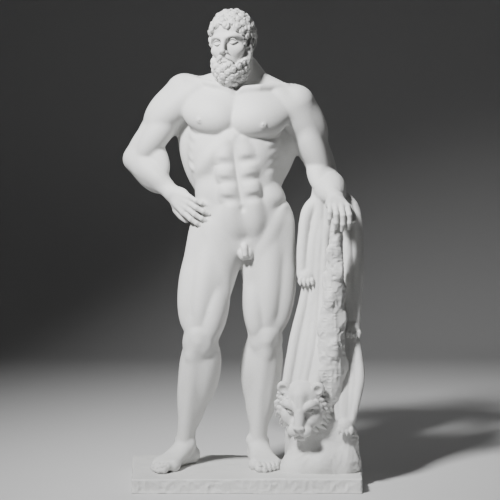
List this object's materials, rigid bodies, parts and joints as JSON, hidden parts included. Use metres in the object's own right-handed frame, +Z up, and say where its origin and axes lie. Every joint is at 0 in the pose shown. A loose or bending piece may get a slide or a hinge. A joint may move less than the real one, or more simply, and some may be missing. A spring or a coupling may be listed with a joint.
{
  "type": "hercules statue",
  "caption": "Life-and-a-half standing bearded hero with a club and a lion's skin over a rock, carved in one block with its thin plinth.",
  "frame": {"origin": "middle of the plinth's flat underside", "axes": "+Z up from the plinth to the head, the figure's front towards -Y and its left side towards +X"},
  "size_m": [1.6537, 0.8689, 3.1541],
  "materials": {
    "pale_stone": "matt, smooth on the skin and tooled on the rock"
  },
  "bodies": {
    "root": {"hercules_statue": "pale_stone"}
  },
  "joints": []
}
